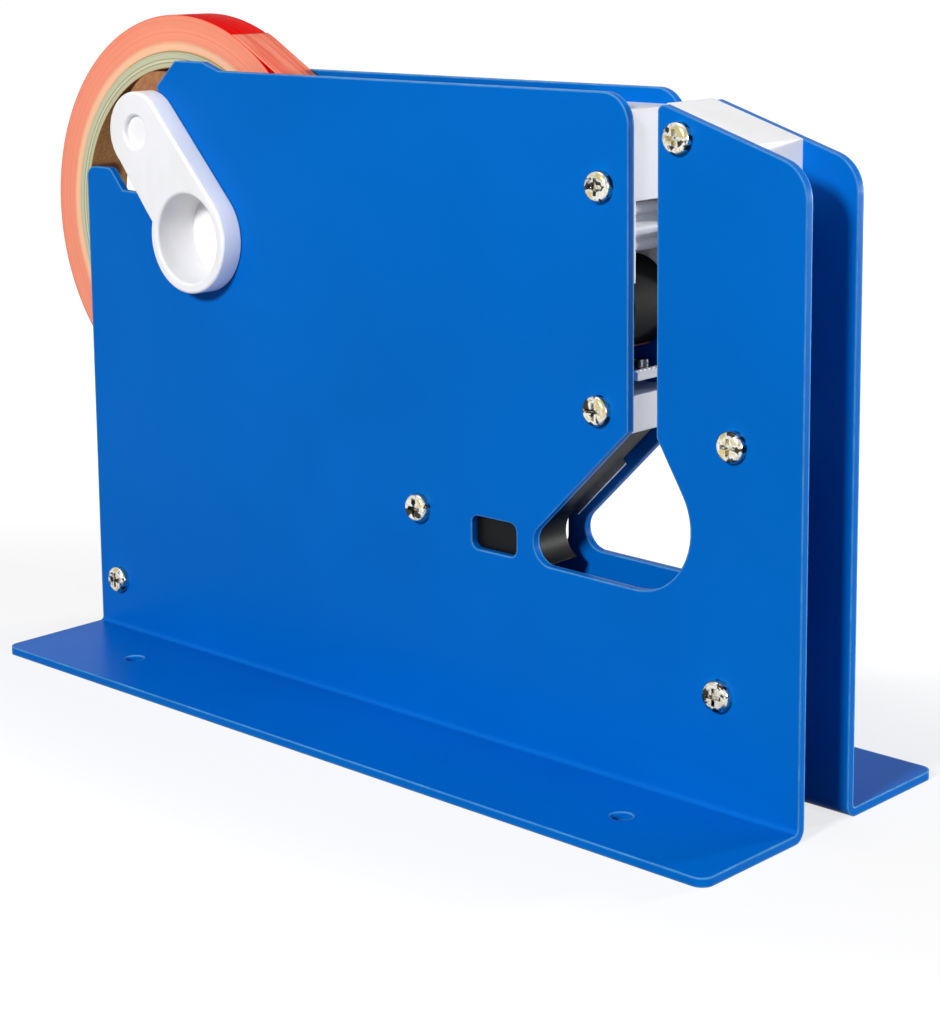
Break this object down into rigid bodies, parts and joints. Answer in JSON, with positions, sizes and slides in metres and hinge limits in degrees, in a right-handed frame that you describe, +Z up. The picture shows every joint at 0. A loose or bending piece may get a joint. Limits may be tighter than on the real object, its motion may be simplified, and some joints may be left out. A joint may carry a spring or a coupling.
{
  "type": "bag neck sealer",
  "caption": "Counter-top bag neck sealer: two bent steel plates on feet, a tape roll on swinging arms, a neck slot with tape roller and knife, and a trimming throat.",
  "frame": {"origin": "middle of the four foot holes, on the underside of the feet", "axes": "+X from the tape roll to the nose, +Y from the front plate to the back plate, +Z up"},
  "size_m": [0.2498, 0.084, 0.1674],
  "materials": {
    "powder_coat": "glossy powder coat on steel sheet",
    "bright_zinc": "bright zinc plate",
    "plain_steel": "turned steel",
    "white_nylon": "moulded nylon, satin",
    "brown_plastic": "moulded fibre-filled plastic",
    "black_nylon": "moulded nylon, satin",
    "black_rubber": "ground rubber tread",
    "blade_steel": "ground and polished edge",
    "core_board": "spiral wound board",
    "tape_film": "red film, wound"
  },
  "bodies": {
    "root": {"front_side_plate": "powder_coat", "back_side_plate": "powder_coat", "front_screws": "bright_zinc", "back_screws": "bright_zinc", "spacer_tubes": "plain_steel", "upper_guide": "white_nylon", "lobed_wheel_pin": "plain_steel", "tape_roller_pin": "plain_steel", "lower_guide": "white_nylon", "knife_lever_pin": "plain_steel", "knife_lever_spring": "plain_steel", "trimmer_block": "black_nylon", "trimmer_blade": "blade_steel", "trimmer_blade_screws": "bright_zinc", "nose_guide": "white_nylon", "tape_strip": "tape_film"},
    "roll_arms": {"front_roll_arm": "white_nylon", "back_roll_arm": "white_nylon", "hub_dowel": "plain_steel", "spindle_pin": "plain_steel", "spindle_drum": "brown_plastic"},
    "roll": {"roll_core": "core_board", "tape_roll": "tape_film"},
    "roller": {"tape_roller": "black_rubber", "tape_roller_core": "white_nylon"},
    "wheel": {"lobed_wheel": "white_nylon"},
    "lever": {"knife_lever": "white_nylon", "tape_knife": "blade_steel", "tape_knife_screws": "bright_zinc"}
  },
  "joints": [
    {"name": "arm_swing", "type": "hinge", "parent": "root", "child": "roll_arms", "pos_m": [-0.0685, 0, 0.112], "axis": [0, -1, 0], "range_deg": [0, 22], "deforming": ["tape_strip"]},
    {"name": "roll_spin", "type": "hinge", "parent": "roll_arms", "child": "roll", "pos_m": [-0.08231, 0, 0.11587], "axis": [0, -1, 0], "continuous": true},
    {"name": "roller_spin", "type": "hinge", "parent": "root", "child": "roller", "pos_m": [0.0587, 0, 0.1072], "axis": [0, -1, 0], "continuous": true},
    {"name": "wheel_spin", "type": "hinge", "parent": "root", "child": "wheel", "pos_m": [0.0622, 0, 0.1243], "axis": [0, -1, 0], "continuous": true},
    {"name": "lever_press", "type": "hinge", "parent": "root", "child": "lever", "pos_m": [0.0467, 0, 0.0922], "axis": [0, 1, 0], "range_deg": [0, 6], "stiffness_Nm_per_rad": 0.02, "springref_deg": -11.46}
  ],
  "couplings": [
    {"joint": "roller_spin", "follows": "roll_spin", "ratio": -5.05}
  ]
}
